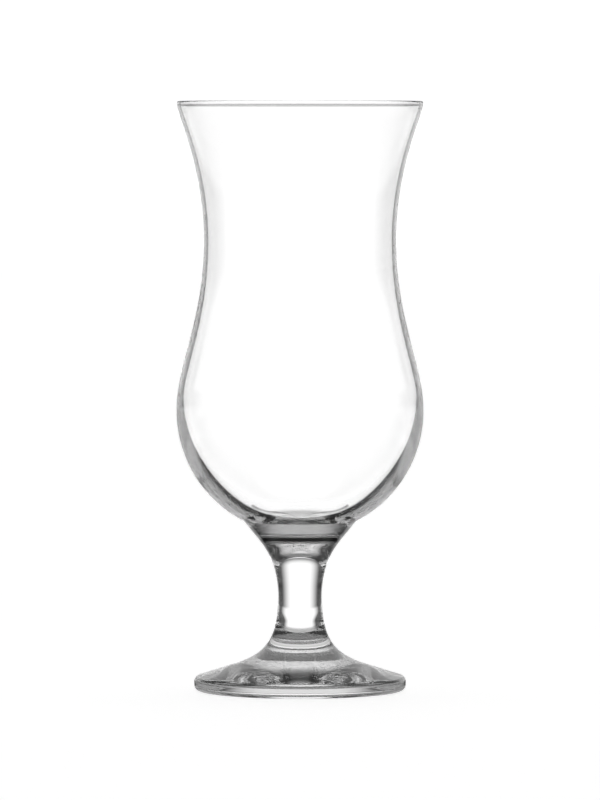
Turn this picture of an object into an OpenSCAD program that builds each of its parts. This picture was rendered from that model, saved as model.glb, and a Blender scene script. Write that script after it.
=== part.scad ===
// Hurricane glass: a blown bowl with a flared lip sits in the cup of a solid pressed stem,
// and the stem stands on a round pressed foot. All three are turned about the Z axis,
// and the foot rests on the plane z = 0. Sizes are in millimetres.

/* [Bowl] */
// Outside diameter of the rim
rim_d = 79.2; // [70:0.1:90]
// Outside diameter of the waist, the narrowest part of the bowl
waist_d = 61.9; // [50:0.1:68]
// Outside diameter of the bulge, and of the round bottom below it
bulge_d = 79.6; // [70:0.1:95]
// Height from the middle of the bulge up to the waist
bulge_to_waist_h = 54.8; // [40:0.1:75]
// Height from the waist up to the top of the rim
waist_to_rim_h = 45; // [30:0.1:60]
// Thickness of the wall at the rim
rim_wall = 1.25; // [0.8:0.05:2]
// Thickness of the wall at the waist
waist_wall = 1.4; // [0.8:0.05:3]
// Thickness of the wall at the bulge
bulge_wall = 2.15; // [1:0.05:4]
// Thickness of the bottom, on the axis
bottom_wall = 6.3; // [3:0.05:8]
// Diameter of the flat floor inside the bowl
floor_d = 16; // [8:0.5:24]
// Height of the cavity's widest part above the middle of the bulge
cavity_rise_h = 3.15; // [0:0.05:6]

/* [Stem] */
// Diameter of the ring where the bowl meets the stem's cup
seat_d = 35.8; // [26:0.1:50]
// Diameter of the stem at its narrowest
stem_d = 14.2; // [9:0.1:20]
// Height from the narrowest point up to the ring
upper_stem_h = 24.8; // [15:0.1:40]
// Height from the foot up to the narrowest point
lower_stem_h = 17.3; // [10:0.1:30]

/* [Foot] */
// Outside diameter of the foot
foot_d = 68.2; // [64:0.1:80]
// Height of the foot, up to the stem
foot_h = 12.5; // [10.5:0.1:16]
// Diameter of the weld between the stem and the foot
weld_d = 26.3; // [22:0.1:34]
// Diameter where the flare below the weld becomes a straight cone
cone_d = 44.2; // [36:0.1:54]
// Height of the cone's upper end
cone_h = 8.2; // [7:0.1:10]
// Height of the foot's edge, before it is rounded
edge_h = 4.4; // [3.8:0.1:6]
// Radius that rounds the foot's edge, above and below
edge_round_r = 1.9; // [1:0.1:2.1]
// Diameter of the hollow under the foot
hollow_d = 57; // [30:0.5:59]
// Depth of the hollow under the foot
hollow_h = 0.5; // [0.3:0.1:3]

/* [Hidden] */
$fn = 128;

// Straight steps in each curve and in each round of an outline
curve_steps = 24;
round_steps = 8;

// Handles of the bowl's curves, as shares of the height that each curve spans
lip_handle_share = 0.09;
flare_handle_share = 0.55;
waist_handle_share = 0.47;
bulge_handle_share = 0.285;
inner_waist_handle_share = 0.51;
inner_bulge_handle_share = 0.2;
inner_side_handle_share = 0.578;

// Handle of the cavity's curve beside its floor, as a share of the run between them
floor_handle_share = 0.375;

// Handles of the stem's curves, as shares of their height, or of their run beside the weld
cup_handle_share = 0.28;
upper_stem_handle_share = 0.58;
lower_stem_handle_share = 0.53;
stem_weld_handle_share = 0.64;

// Handles of the foot's flare, as shares of its run
foot_weld_handle_share = 0.265;
cone_handle_share = 0.4;

// Slopes where curves meet: the run of the cup for its height, the fall at the weld for its run
cup_slope_share = 0.71;
weld_slope_share = 0.8;

// Radii
rim_r = rim_d / 2;
waist_r = waist_d / 2;
bulge_r = bulge_d / 2;
cavity_r = bulge_r - bulge_wall;
floor_r = floor_d / 2;
rim_round_r = rim_wall / 2;
seat_r = seat_d / 2;
stem_r = stem_d / 2;
weld_r = weld_d / 2;
cone_r = cone_d / 2;
foot_r = foot_d / 2;
hollow_r = hollow_d / 2;

// Heights above the table
stem_z = foot_h + lower_stem_h;
seat_z = stem_z + upper_stem_h;
bulge_z = seat_z + sqrt(pow(bulge_r, 2) - pow(seat_r, 2));
floor_z = bulge_z - bulge_r + bottom_wall;
cavity_z = bulge_z + cavity_rise_h;
waist_z = bulge_z + bulge_to_waist_h;
rim_z = waist_z + waist_to_rim_h;
lip_z = rim_z - rim_round_r;

// Angle of the seat's ring below the middle of the bulge, and of the foot's cone
seat_angle = acos(seat_r / bulge_r);
cone_slope = (cone_h - edge_h) / (foot_r - cone_r);
cone_angle = atan(cone_slope);

// Points along a cubic curve from a to b, drawn towards the handles
function curve(a, a_handle, b_handle, b) = [
    for (i = [0 : curve_steps])
        let (t = i / curve_steps, s = 1 - t)
        s * s * s * a + 3 * s * s * t * a_handle + 3 * s * t * t * b_handle + t * t * t * b
];

// Points along a circle's arc
function arc(centre, radius, from_angle, to_angle, steps) = [
    for (i = [0 : steps])
        let (angle = from_angle + (to_angle - from_angle) * i / steps)
        centre + radius * [cos(angle), sin(angle)]
];

// All but the first point, to join a line on to the one before it
function rest(points) = [for (i = [1 : len(points) - 1]) points[i]];

// Round bottom of the bowl inside the stem's cup, from the axis out to the ring
function seat_line() = arc([0, bulge_z], bulge_r, -90, -seat_angle, round_steps);

// Outside of the bowl, from the ring up to the lip
function bowl_outer_line() = concat(
    arc([0, bulge_z], bulge_r, -seat_angle, 0, curve_steps),
    rest(curve(
        [bulge_r, bulge_z],
        [bulge_r, bulge_z + bulge_handle_share * bulge_to_waist_h],
        [waist_r, waist_z - waist_handle_share * bulge_to_waist_h],
        [waist_r, waist_z])),
    rest(curve(
        [waist_r, waist_z],
        [waist_r, waist_z + flare_handle_share * (lip_z - waist_z)],
        [rim_r, lip_z - lip_handle_share * (lip_z - waist_z)],
        [rim_r, lip_z])));

// Inside of the bowl, from the lip down to the floor
function bowl_inner_line() = concat(
    curve(
        [rim_r - rim_wall, lip_z],
        [rim_r - rim_wall, lip_z - lip_handle_share * (lip_z - waist_z)],
        [waist_r - waist_wall, waist_z + flare_handle_share * (lip_z - waist_z)],
        [waist_r - waist_wall, waist_z]),
    rest(curve(
        [waist_r - waist_wall, waist_z],
        [waist_r - waist_wall, waist_z - inner_waist_handle_share * (waist_z - cavity_z)],
        [cavity_r, cavity_z + inner_bulge_handle_share * (waist_z - cavity_z)],
        [cavity_r, cavity_z])),
    rest(curve(
        [cavity_r, cavity_z],
        [cavity_r, cavity_z - inner_side_handle_share * (cavity_z - floor_z)],
        [floor_r + floor_handle_share * (cavity_r - floor_r), floor_z],
        [floor_r, floor_z])),
    [[0, floor_z]]);

// Outside of the stem, from the ring down to the weld
function stem_outer_line() = concat(
    curve(
        [seat_r, seat_z],
        [seat_r - cup_handle_share * upper_stem_h * cup_slope_share,
         seat_z - cup_handle_share * upper_stem_h],
        [stem_r, stem_z + upper_stem_handle_share * upper_stem_h],
        [stem_r, stem_z]),
    rest(curve(
        [stem_r, stem_z],
        [stem_r, stem_z - lower_stem_handle_share * lower_stem_h],
        [weld_r - stem_weld_handle_share * (weld_r - stem_r),
         foot_h + stem_weld_handle_share * (weld_r - stem_r) * weld_slope_share],
        [weld_r, foot_h])));

// Top of the foot, from the weld out to the upper end of the cone
function foot_flare_line() = curve(
    [weld_r, foot_h],
    [weld_r + foot_weld_handle_share * (cone_r - weld_r),
     foot_h - foot_weld_handle_share * (cone_r - weld_r) * weld_slope_share],
    [cone_r - cone_handle_share * (cone_r - weld_r),
     cone_h + cone_handle_share * (cone_r - weld_r) * cone_slope],
    [cone_r, cone_h]);

// Rounded edge of the foot, from the end of the cone down to the table
function foot_edge_line() =
    let (
        round_x = foot_r - edge_round_r,
        upper_round_z = edge_h + edge_round_r * cone_slope - edge_round_r / cos(cone_angle))
    concat(
        arc([round_x, upper_round_z], edge_round_r, 90 - cone_angle, 0, round_steps),
        arc([round_x, edge_round_r], edge_round_r, 0, -90, round_steps));

// Hollow under the foot, a shallow dome from its edge up to the axis
function hollow_line() =
    let (
        dome_r = (pow(hollow_r, 2) + pow(hollow_h, 2)) / (2 * hollow_h),
        dome_angle = asin(hollow_r / dome_r))
    arc([0, hollow_h - dome_r], dome_r, 90 - dome_angle, 90, round_steps);

module bowl() {
    color("aliceblue", 0.5)
        rotate_extrude()
            polygon(concat(
                seat_line(),
                rest(bowl_outer_line()),
                rest(arc([rim_r - rim_round_r, lip_z], rim_round_r, 0, 180, round_steps)),
                rest(bowl_inner_line())));
}

module stem() {
    color("lightcyan", 0.6)
        rotate_extrude()
            polygon(concat(
                seat_line(),
                rest(stem_outer_line()),
                [[0, foot_h]]));
}

module foot() {
    color("azure", 0.6)
        rotate_extrude()
            polygon(concat(
                [[0, foot_h]],
                foot_flare_line(),
                foot_edge_line(),
                hollow_line()));
}

bowl();
stem();
foot();
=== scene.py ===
"""Hurricane glass on a white floor: bowl, stem and foot as finely turned meshes of clear glass."""

import math

import bmesh
import bpy
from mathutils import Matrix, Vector


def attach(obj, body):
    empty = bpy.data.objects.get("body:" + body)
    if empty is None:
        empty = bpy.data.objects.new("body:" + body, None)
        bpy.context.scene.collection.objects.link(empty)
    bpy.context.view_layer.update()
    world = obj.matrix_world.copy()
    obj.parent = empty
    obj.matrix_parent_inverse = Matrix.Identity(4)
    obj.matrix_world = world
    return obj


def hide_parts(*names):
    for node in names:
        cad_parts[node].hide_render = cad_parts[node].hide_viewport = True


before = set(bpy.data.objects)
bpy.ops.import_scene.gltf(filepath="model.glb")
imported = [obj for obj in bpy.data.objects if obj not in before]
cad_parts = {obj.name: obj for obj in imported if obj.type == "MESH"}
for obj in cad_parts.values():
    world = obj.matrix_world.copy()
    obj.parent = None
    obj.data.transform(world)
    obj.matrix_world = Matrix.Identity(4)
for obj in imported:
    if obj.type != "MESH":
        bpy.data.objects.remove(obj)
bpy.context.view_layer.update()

# A millimetre in metres, a degree in radians, and the distance in millimetres within which points touch
MM = 0.001
DEG = math.radians(1)
TOUCH = 1e-6

# Steps round the axis, along each curve and along each round
TURNS = 256
CURVE_STEPS = 48
ROUND_STEPS = 16

# Sizes of the glass in millimetres, the same as in the part's source
RIM_R, WAIST_R, BULGE_R = 39.6, 30.95, 39.8
BULGE_TO_WAIST_H, WAIST_TO_RIM_H = 54.8, 45.0
RIM_WALL, WAIST_WALL, BULGE_WALL, BOTTOM_WALL = 1.25, 1.4, 2.15, 6.3
FLOOR_R, CAVITY_RISE_H = 8.0, 3.15
SEAT_R, STEM_R, UPPER_STEM_H, LOWER_STEM_H = 17.9, 7.1, 24.8, 17.3
FOOT_R, FOOT_H, WELD_R = 34.1, 12.5, 13.15
CONE_R, CONE_H, EDGE_H, EDGE_ROUND_R = 22.1, 8.2, 4.4, 1.9
HOLLOW_R, HOLLOW_H = 28.5, 0.5

# Handles of the curves, as shares of the height or the run that each curve spans
LIP_HANDLE, FLARE_HANDLE, WAIST_HANDLE, BULGE_HANDLE = 0.09, 0.55, 0.47, 0.285
INNER_WAIST_HANDLE, INNER_BULGE_HANDLE, INNER_SIDE_HANDLE, FLOOR_HANDLE = 0.51, 0.2, 0.578, 0.375
CUP_HANDLE, UPPER_STEM_HANDLE, LOWER_STEM_HANDLE, STEM_WELD_HANDLE = 0.28, 0.58, 0.53, 0.64
FOOT_WELD_HANDLE, CONE_HANDLE = 0.265, 0.4

# Run of the cup for its height, and fall at the weld for its run
CUP_SLOPE, WELD_SLOPE = 0.71, 0.8

# Heights in millimetres, and the angle of the seat's ring below the middle of the bulge
STEM_Z = FOOT_H + LOWER_STEM_H
SEAT_Z = STEM_Z + UPPER_STEM_H
BULGE_Z = SEAT_Z + math.sqrt(BULGE_R**2 - SEAT_R**2)
FLOOR_Z = BULGE_Z - BULGE_R + BOTTOM_WALL
CAVITY_Z = BULGE_Z + CAVITY_RISE_H
WAIST_Z = BULGE_Z + BULGE_TO_WAIST_H
LIP_Z = WAIST_Z + WAIST_TO_RIM_H - RIM_WALL / 2
SEAT_ANGLE = math.degrees(math.acos(SEAT_R / BULGE_R))

# Glass: its refractive index, its roughness where the polish is poorest, and how much light passes one
# surface in the shadow
GLASS_IOR, POOREST_POLISH = 1.52, 0.012
SHADOW_COLOUR = (0.93, 0.94, 0.935, 1)

# Painted shade at the rim, standing in for the dark lines that refraction gives there: faint grey in a
# fine line under it and a weaker edge on it, with heights in millimetres
RIM_PAINTED_GREY, RIM_EDGE_SHARE = 0.6, 0.35
RIM_LINE_RISE, RIM_LINE_FALL, RIM_EDGE_RISE = (188.2, 188.6), (188.7, 189.1), (189.5, 189.9)

# Heights in millimetres between which the bowl's share of plain refraction changes
SHARE_LOW_Z, SHARE_HIGH_Z = 66, 95

# What the glass sees round it, where 1 is white
BACK_LIGHT, TOP_LIGHT, FRONT_ROOM, ROOM_BELOW, FLAGS = 1.12, 1.1, 0.8, 0.97, 0.05

# A glowing disc that the glass sees in place of the floor near it, with painted light behind the glass,
# painted shade at both sides of that and a painted shadow under the foot: radii and depth in metres, and
# brightness
NEAR_FLOOR_R, NEAR_FLOOR_FADE_R, NEAR_FLOOR_Z = 0.2, 0.15, -0.0001
NEAR_BACK, NEAR_FRONT, NEAR_SIDES = 1.1, 0.9, 0.12

# Floor for the camera: half its width and its depth in metres, its colour, and a glow that brings it up
# to white outside the shadow
FLOOR_HALF, CAMERA_FLOOR_Z = 6, -0.0002
FLOOR_COLOUR, FLOOR_GLOW = (0.8, 0.8, 0.8, 1), 0.78

# Camera: place and aim in metres, sensor in millimetres, and the heights of the picture and of the glass
# in it, in pixels, for a glass of this height in metres
CAMERA_PLACE, CAMERA_AIM, SENSOR = (0, -2.1, 0.1818), (0, 0, 0.0937), 24
PICTURE_PIXELS, GLASS_PIXELS, GLASS_H = 800, 590, 0.190

# Times that light may bounce or pass a surface
BOUNCES = 32


def curve(a, a_handle, b_handle, b, steps=CURVE_STEPS):
    """Points along a cubic curve."""
    points = []
    for i in range(steps + 1):
        t = i / steps
        s = 1 - t
        shares = (s**3, 3 * s * s * t, 3 * s * t * t, t**3)
        corners = (a, a_handle, b_handle, b)
        points.append(tuple(sum(k * c[j] for k, c in zip(shares, corners)) for j in (0, 1)))
    return points


def arc(centre, radius, start, end, steps):
    """Points along a circle's arc, by angles in degrees."""
    angles = [math.radians(start + (end - start) * i / steps) for i in range(steps + 1)]
    return [(centre[0] + radius * math.cos(a), centre[1] + radius * math.sin(a)) for a in angles]


def seat_line():
    """The bowl's round bottom in the stem's cup, from the axis outwards."""
    return arc((0, BULGE_Z), BULGE_R, -90, -SEAT_ANGLE, ROUND_STEPS)


def bowl_outline():
    """The bowl, from its bottom up the outside, over the rim and down the inside to its floor."""
    flare_h = LIP_Z - WAIST_Z
    inner_h = WAIST_Z - CAVITY_Z
    cavity_r = BULGE_R - BULGE_WALL
    inner_rim_r = RIM_R - RIM_WALL
    inner_waist_r = WAIST_R - WAIST_WALL
    outside = arc((0, BULGE_Z), BULGE_R, -SEAT_ANGLE, 0, CURVE_STEPS)
    outside += curve(
        (BULGE_R, BULGE_Z),
        (BULGE_R, BULGE_Z + BULGE_HANDLE * BULGE_TO_WAIST_H),
        (WAIST_R, WAIST_Z - WAIST_HANDLE * BULGE_TO_WAIST_H),
        (WAIST_R, WAIST_Z),
    )[1:]
    outside += curve(
        (WAIST_R, WAIST_Z),
        (WAIST_R, WAIST_Z + FLARE_HANDLE * flare_h),
        (RIM_R, LIP_Z - LIP_HANDLE * flare_h),
        (RIM_R, LIP_Z),
    )[1:]
    rim = arc((RIM_R - RIM_WALL / 2, LIP_Z), RIM_WALL / 2, 0, 180, ROUND_STEPS)[1:]
    inside = curve(
        (inner_rim_r, LIP_Z),
        (inner_rim_r, LIP_Z - LIP_HANDLE * flare_h),
        (inner_waist_r, WAIST_Z + FLARE_HANDLE * flare_h),
        (inner_waist_r, WAIST_Z),
    )[1:]
    inside += curve(
        (inner_waist_r, WAIST_Z),
        (inner_waist_r, WAIST_Z - INNER_WAIST_HANDLE * inner_h),
        (cavity_r, CAVITY_Z + INNER_BULGE_HANDLE * inner_h),
        (cavity_r, CAVITY_Z),
    )[1:]
    inside += curve(
        (cavity_r, CAVITY_Z),
        (cavity_r, CAVITY_Z - INNER_SIDE_HANDLE * (CAVITY_Z - FLOOR_Z)),
        (FLOOR_R + FLOOR_HANDLE * (cavity_r - FLOOR_R), FLOOR_Z),
        (FLOOR_R, FLOOR_Z),
        2 * CURVE_STEPS,
    )[1:]
    return seat_line() + outside[1:] + rim + inside + [(0, FLOOR_Z)]


def stem_outline():
    """The stem, from the middle of its cup out to the ring and down to the weld."""
    weld_run = STEM_WELD_HANDLE * (WELD_R - STEM_R)
    cup_h = CUP_HANDLE * UPPER_STEM_H
    side = curve(
        (SEAT_R, SEAT_Z),
        (SEAT_R - cup_h * CUP_SLOPE, SEAT_Z - cup_h),
        (STEM_R, STEM_Z + UPPER_STEM_HANDLE * UPPER_STEM_H),
        (STEM_R, STEM_Z),
    )
    side += curve(
        (STEM_R, STEM_Z),
        (STEM_R, STEM_Z - LOWER_STEM_HANDLE * LOWER_STEM_H),
        (WELD_R - weld_run, FOOT_H + weld_run * WELD_SLOPE),
        (WELD_R, FOOT_H),
    )[1:]
    return seat_line() + side[1:] + [(0, FOOT_H)]


def foot_outline():
    """The foot, from the middle of the weld over its top and edge to the hollow under it."""
    cone_slope = (CONE_H - EDGE_H) / (FOOT_R - CONE_R)
    cone_angle = math.atan(cone_slope)
    weld_run = FOOT_WELD_HANDLE * (CONE_R - WELD_R)
    cone_run = CONE_HANDLE * (CONE_R - WELD_R)
    round_r = FOOT_R - EDGE_ROUND_R
    upper_round_z = EDGE_H + EDGE_ROUND_R * cone_slope - EDGE_ROUND_R / math.cos(cone_angle)
    dome_r = (HOLLOW_R**2 + HOLLOW_H**2) / (2 * HOLLOW_H)
    dome_angle = math.degrees(math.asin(HOLLOW_R / dome_r))
    top = curve(
        (WELD_R, FOOT_H),
        (WELD_R + weld_run, FOOT_H - weld_run * WELD_SLOPE),
        (CONE_R - cone_run, CONE_H + cone_run * cone_slope),
        (CONE_R, CONE_H),
    )
    edge = arc((round_r, upper_round_z), EDGE_ROUND_R, 90 - math.degrees(cone_angle), 0, ROUND_STEPS)
    edge += arc((round_r, EDGE_ROUND_R), EDGE_ROUND_R, 0, -90, ROUND_STEPS)
    hollow = arc((0, HOLLOW_H - dome_r), dome_r, 90 - dome_angle, 90, ROUND_STEPS)
    return [(0, FOOT_H)] + top + edge + hollow


def on_seat(point):
    """True where the bowl is fused into the stem's cup."""
    on_sphere = abs(math.hypot(point[0], point[1] - BULGE_Z) - BULGE_R) < TOUCH
    return on_sphere and point[1] < SEAT_Z + TOUCH


def on_weld(point):
    """True where the stem is fused to the foot."""
    return abs(point[1] - FOOT_H) < TOUCH


def turned(name, outline, outer_glass, inner_glass, fused_at):
    """A closed body of revolution, whose faces inside the fused glass take the second material."""
    bm = bmesh.new()
    rings = []
    for radius, height in outline:
        turns = 1 if radius < TOUCH else TURNS
        angles = [2 * math.pi * k / TURNS for k in range(turns)]
        places = [(radius * math.cos(a), radius * math.sin(a), height) for a in angles]
        rings.append([bm.verts.new(Vector(place) * MM) for place in places])
    for i in range(len(outline) - 1):
        low, high = rings[i], rings[i + 1]
        inside_glass = any(test(outline[i]) and test(outline[i + 1]) for test in fused_at)
        for k in range(TURNS):
            n = (k + 1) % TURNS
            if len(low) == 1:
                corners = (low[0], high[n], high[k])
            elif len(high) == 1:
                corners = (low[k], low[n], high[0])
            else:
                corners = (low[k], low[n], high[n], high[k])
            face = bm.faces.new(corners)
            face.smooth = True
            face.material_index = int(inside_glass)
    bmesh.ops.recalc_face_normals(bm, faces=bm.faces)
    mesh = bpy.data.meshes.new(name)
    bm.to_mesh(mesh)
    bm.free()
    mesh.set_sharp_from_angle(angle=20 * DEG)
    mesh.materials.append(outer_glass)
    mesh.materials.append(inner_glass)
    return placed(name, mesh)


def placed(name, data):
    """A new object in the scene, with the data of a mesh or a camera."""
    thing = bpy.data.objects.new(name, data)
    bpy.context.scene.collection.objects.link(thing)
    return thing


class Tree:
    """Short ways to add nodes to the tree of a material or of the world."""

    def __init__(self, owner):
        owner.use_nodes = True
        self.tree = owner.node_tree
        self.nodes = owner.node_tree.nodes

    def add(self, kind, **settings):
        node = self.nodes.new("ShaderNode" + kind)
        for key, value in settings.items():
            setattr(node, key, value)
        return node

    def feed(self, socket, value):
        """Sets a socket to a plain value, or links another node's output to it."""
        if isinstance(value, (int, float, tuple)):
            socket.default_value = value
        else:
            self.tree.links.new(value, socket)

    def math(self, operation, *values):
        node = self.add("Math", operation=operation)
        for socket, value in zip(node.inputs, values):
            self.feed(socket, value)
        return node.outputs[0]

    def ease(self, value, start, end, low, high):
        """Goes smoothly from low to high while value goes from start to end."""
        node = self.add("MapRange", interpolation_type="SMOOTHSTEP")
        for socket, setting in zip(node.inputs, (value, start, end, low, high)):
            self.feed(socket, setting)
        return node.outputs[0]

    def mix(self, share, first, second):
        """The first shader, with a share of the second."""
        node = self.add("MixShader")
        for socket, value in zip(node.inputs, (share, first.outputs[0], second.outputs[0])):
            self.feed(socket, value)
        return node

    def place(self, kind):
        """The outputs X, Y and Z of a texture coordinate."""
        parts = self.add("SeparateXYZ")
        self.feed(parts.inputs[0], self.add("TexCoord").outputs[kind])
        return parts.outputs["X"], parts.outputs["Y"], parts.outputs["Z"]

    def surface(self, shader):
        """Makes a shader the material's surface."""
        self.feed(self.nodes["Material Output"].inputs["Surface"], shader.outputs[0])


def rim_painted_shade(tree, z):
    """White, but with painted shade: a little grey in a fine line under the rim and on the rim's edge,
    standing in for the dark lines that refraction gives there.
    """
    line_rise = tree.ease(z, RIM_LINE_RISE[0] * MM, RIM_LINE_RISE[1] * MM, 0, 1)
    line_fall = tree.ease(z, RIM_LINE_FALL[0] * MM, RIM_LINE_FALL[1] * MM, 1, 0)
    line = tree.math("MULTIPLY", line_rise, line_fall)
    edge = tree.ease(z, RIM_EDGE_RISE[0] * MM, RIM_EDGE_RISE[1] * MM, 0, RIM_EDGE_SHARE)
    return tree.ease(tree.math("MAXIMUM", line, edge), 0, 1, 1, RIM_PAINTED_GREY)


def glass(name, waves, depth, low_share, high_share):
    """Clear glass with faint waves and slightly uneven polish. At the first two surfaces that light meets,
    a share of plain refraction, which gives no inner reflections, darkens the edges: low_share at the
    bottom of the bowl and below it, and high_share from the bulge upwards."""
    material = bpy.data.materials.new(name)
    tree = Tree(material)
    shine = tree.nodes["Principled BSDF"]
    shine.inputs["Transmission Weight"].default_value = 1
    shine.inputs["IOR"].default_value = GLASS_IOR
    clear = tree.add("BsdfRefraction")
    clear.inputs["IOR"].default_value = GLASS_IOR
    z = tree.place("Object")[2]
    # Painted shade: the colour of both shaders is greyed in a fine line under the rim and on the rim's
    # edge
    painted_rim_shade = rim_painted_shade(tree, z)
    tree.feed(shine.inputs["Base Color"], painted_rim_shade)
    tree.feed(clear.inputs["Color"], painted_rim_shade)
    noise = tree.add("TexNoise")
    noise.inputs["Scale"].default_value = waves
    noise.inputs["Detail"].default_value = 1
    tree.feed(noise.inputs["Vector"], tree.add("TexCoord").outputs["Object"])
    bump = tree.add("Bump")
    bump.inputs["Strength"].default_value = 1
    bump.inputs["Distance"].default_value = depth
    tree.feed(bump.inputs["Height"], noise.outputs["Fac"])
    polish = tree.ease(noise.outputs["Fac"], 0.35, 0.7, 0, POOREST_POLISH)
    for shader in (shine, clear):
        tree.feed(shader.inputs["Normal"], bump.outputs["Normal"])
        tree.feed(shader.inputs["Roughness"], polish)
    path = tree.add("LightPath")
    first_two = tree.math("LESS_THAN", path.outputs["Ray Depth"], 1.5)
    share = tree.ease(z, SHARE_LOW_Z * MM, SHARE_HIGH_Z * MM, low_share, high_share)
    body = tree.mix(tree.math("MULTIPLY", share, first_two), shine, clear)
    shade = tree.add("BsdfTransparent")
    shade.inputs["Color"].default_value = SHADOW_COLOUR
    tree.surface(tree.mix(path.outputs["Is Shadow Ray"], body, shade))
    return material


def fused_glass():
    """Nothing shows where two pieces of glass are fused to each other."""
    material = bpy.data.materials.new("fused_glass")
    tree = Tree(material)
    tree.nodes.remove(tree.nodes["Principled BSDF"])
    tree.surface(tree.add("BsdfTransparent"))
    return material


blown = glass("blown_glass", waves=20, depth=0.000002, low_share=0.6, high_share=0.5)
pressed = glass("pressed_glass", waves=30, depth=0.000001, low_share=0.35, high_share=0.35)
fused = fused_glass()
pieces = {
    "bowl": turned("blown_bowl", bowl_outline(), blown, fused, (on_seat,)),
    "stem": turned("pressed_stem", stem_outline(), pressed, fused, (on_seat, on_weld)),
    "foot": turned("pressed_foot", foot_outline(), pressed, fused, (on_weld,)),
}
for node, piece in pieces.items():
    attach(piece, "root")
    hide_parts(node)


def studio():
    """A white room for the camera. The glass sees a soft light behind it, dark flags at both sides of that
    light, and a pale room in front, below and above."""
    world = bpy.data.worlds.new("studio")
    bpy.context.scene.world = world
    tree = Tree(world)
    x, y, z = tree.place("Generated")
    rise = tree.math("ARCSINE", z)
    turn = tree.math("ABSOLUTE", tree.math("ARCTAN2", x, y))
    below = tree.ease(rise, -13 * DEG, -9 * DEG, ROOM_BELOW, 0)
    back_width = tree.ease(turn, 12 * DEG, 46 * DEG, BACK_LIGHT, 0)
    back_height = tree.ease(rise, 22 * DEG, 48 * DEG, 1, 0)
    front_width = tree.ease(turn, 60 * DEG, 85 * DEG, 0, FRONT_ROOM)
    front_height = tree.ease(rise, 5 * DEG, 22 * DEG, 1, 0)
    top_width = tree.ease(turn, 60 * DEG, 110 * DEG, TOP_LIGHT, 0.3 * TOP_LIGHT)
    top_height = tree.ease(rise, 50 * DEG, 70 * DEG, 0, 1)
    seen = tree.math("MAXIMUM", below, FLAGS)
    for width, height in ((back_width, back_height), (front_width, front_height), (top_width, top_height)):
        seen = tree.math("MAXIMUM", seen, tree.math("MULTIPLY", width, height))
    background = tree.nodes["Background"]
    background.inputs["Color"].default_value = (1, 1, 1, 1)
    camera_white = tree.add("LightPath").outputs["Is Camera Ray"]
    tree.feed(background.inputs["Strength"], tree.math("MAXIMUM", camera_white, seen))


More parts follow.
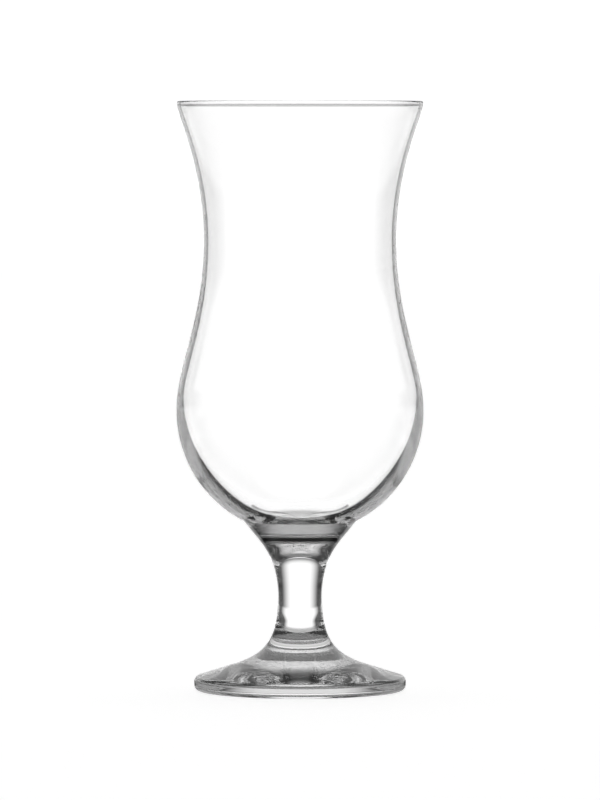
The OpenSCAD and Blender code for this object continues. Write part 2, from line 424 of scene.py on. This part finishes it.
def painted_near_floor():
    """The floor close to the glass as the glass itself sees it, as a glowing disc of painted light and
    shade: lit behind, dark at both sides of that, a painted shadow under the foot, and pale elsewhere.
    Nothing else sees it."""
    mesh = bpy.data.meshes.new("painted_near_floor")
    rim = arc((0, 0), NEAR_FLOOR_R, 0, 360, 128)[:-1]
    mesh.from_pydata([(x, y, 0) for x, y in rim], [], [tuple(range(len(rim)))])
    disc = placed("painted_near_floor", mesh)
    disc.location.z = NEAR_FLOOR_Z
    disc.visible_camera = False
    disc.visible_diffuse = False
    disc.visible_shadow = False
    material = bpy.data.materials.new("painted_near_floor")
    tree = Tree(material)
    tree.nodes.remove(tree.nodes["Principled BSDF"])
    x, y = tree.place("Object")[:2]
    reach = tree.math("SQRT", tree.math("ADD", tree.math("MULTIPLY", x, x), tree.math("MULTIPLY", y, y)))
    turn = tree.math("ABSOLUTE", tree.math("ARCTAN2", x, y))
    edge_start = tree.ease(reach, 0.06, 0.12, 16 * DEG, 22 * DEG)
    edge_end = tree.ease(reach, 0.06, 0.12, 30 * DEG, 50 * DEG)
    # Painted light behind the glass, darker close to the foot as a painted shadow
    behind = tree.ease(turn, edge_start, edge_end, 1, 0)
    behind = tree.math("MULTIPLY", behind, tree.ease(reach, 0.03, 0.05, 0.3, NEAR_BACK))
    # Painted shade at both sides, pale in front, and a painted shadow that darkens towards the foot
    pale = tree.ease(turn, 50 * DEG, 80 * DEG, NEAR_SIDES, NEAR_FRONT)
    pale = tree.math("MULTIPLY", pale, tree.ease(reach, 0.05, 0.11, 0.55, 1))
    # The disc glows with this painted light and shade, though it is no lamp
    glow = tree.add("Emission")
    tree.feed(glow.inputs["Strength"], tree.math("MAXIMUM", behind, pale))
    fade = tree.ease(reach, NEAR_FLOOR_FADE_R, NEAR_FLOOR_R, 0, 1)
    tree.surface(tree.mix(fade, glow, tree.add("BsdfTransparent")))
    mesh.materials.append(material)


def white_floor():
    """A pale floor that is white for the camera and keeps the shadow of the glass. The glass itself sees
    the glowing near floor, with its painted light and shade, and the room instead."""
    mesh = bpy.data.meshes.new("floor")
    corners = [(-1, -1), (1, -1), (1, 1), (-1, 1)]
    mesh.from_pydata([(FLOOR_HALF * x, FLOOR_HALF * y, 0) for x, y in corners], [], [(0, 1, 2, 3)])
    floor = placed("floor", mesh)
    floor.location.z = CAMERA_FLOOR_Z
    floor.visible_glossy = False
    floor.visible_transmission = False
    material = bpy.data.materials.new("white_floor")
    tree = Tree(material)
    paint = tree.nodes["Principled BSDF"]
    paint.inputs["Base Color"].default_value = FLOOR_COLOUR
    paint.inputs["Roughness"].default_value = 0.9
    paint.inputs["Specular IOR Level"].default_value = 0
    paint.inputs["Emission Color"].default_value = (1, 1, 1, 1)
    glow = tree.math("MULTIPLY", tree.add("LightPath").outputs["Is Camera Ray"], FLOOR_GLOW)
    tree.feed(paint.inputs["Emission Strength"], glow)
    mesh.materials.append(material)


def camera():
    """The photograph's view: far away and a little below the rim."""
    data = bpy.data.cameras.new("camera")
    eye = placed("camera", data)
    eye.location = CAMERA_PLACE
    aim = Vector(CAMERA_AIM) - eye.location
    eye.rotation_euler = aim.to_track_quat("-Z", "Y").to_euler()
    data.sensor_width = SENSOR
    data.lens = SENSOR * aim.length / (PICTURE_PIXELS * GLASS_H / GLASS_PIXELS)
    bpy.context.scene.camera = eye


studio()
white_floor()
painted_near_floor()
camera()

scene = bpy.context.scene
scene.view_settings.view_transform = "Standard"
scene.cycles.max_bounces = BOUNCES
scene.cycles.transmission_bounces = BOUNCES
scene.cycles.glossy_bounces = BOUNCES
scene.cycles.transparent_max_bounces = BOUNCES
